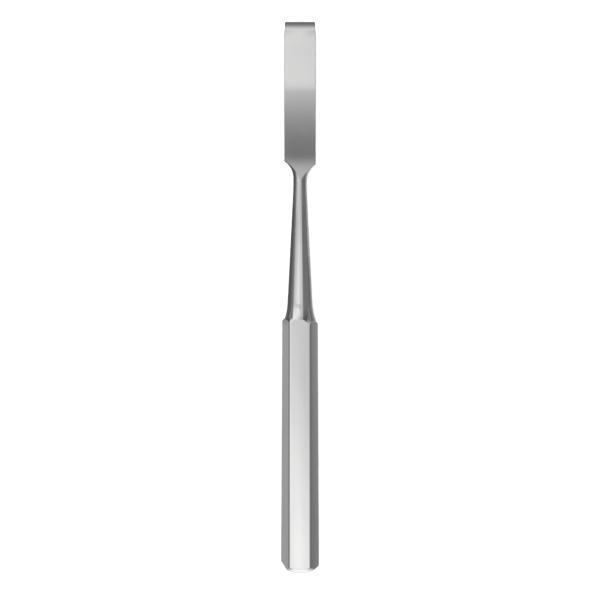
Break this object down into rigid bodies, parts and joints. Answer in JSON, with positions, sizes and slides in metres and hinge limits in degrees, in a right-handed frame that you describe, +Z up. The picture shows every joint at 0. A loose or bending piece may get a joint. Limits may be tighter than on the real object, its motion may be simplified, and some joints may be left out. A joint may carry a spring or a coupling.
{
  "type": "bone chisel",
  "caption": "One-piece steel bone chisel: flat bevelled blade, hollow shoulders, round tapered neck and a tapered hexagonal handle with a domed struck end.",
  "frame": {"origin": "on the resting surface, under the middle of the bounding box", "axes": "+Y along the tool to the cutting edge, +X across the blade, +Z up, out of the bevelled side"},
  "size_m": [0.0166, 0.24, 0.014],
  "materials": {
    "ground_steel": "satin ground stainless steel, polished along the handle"
  },
  "bodies": {
    "root": {"chisel": "ground_steel"}
  },
  "joints": []
}
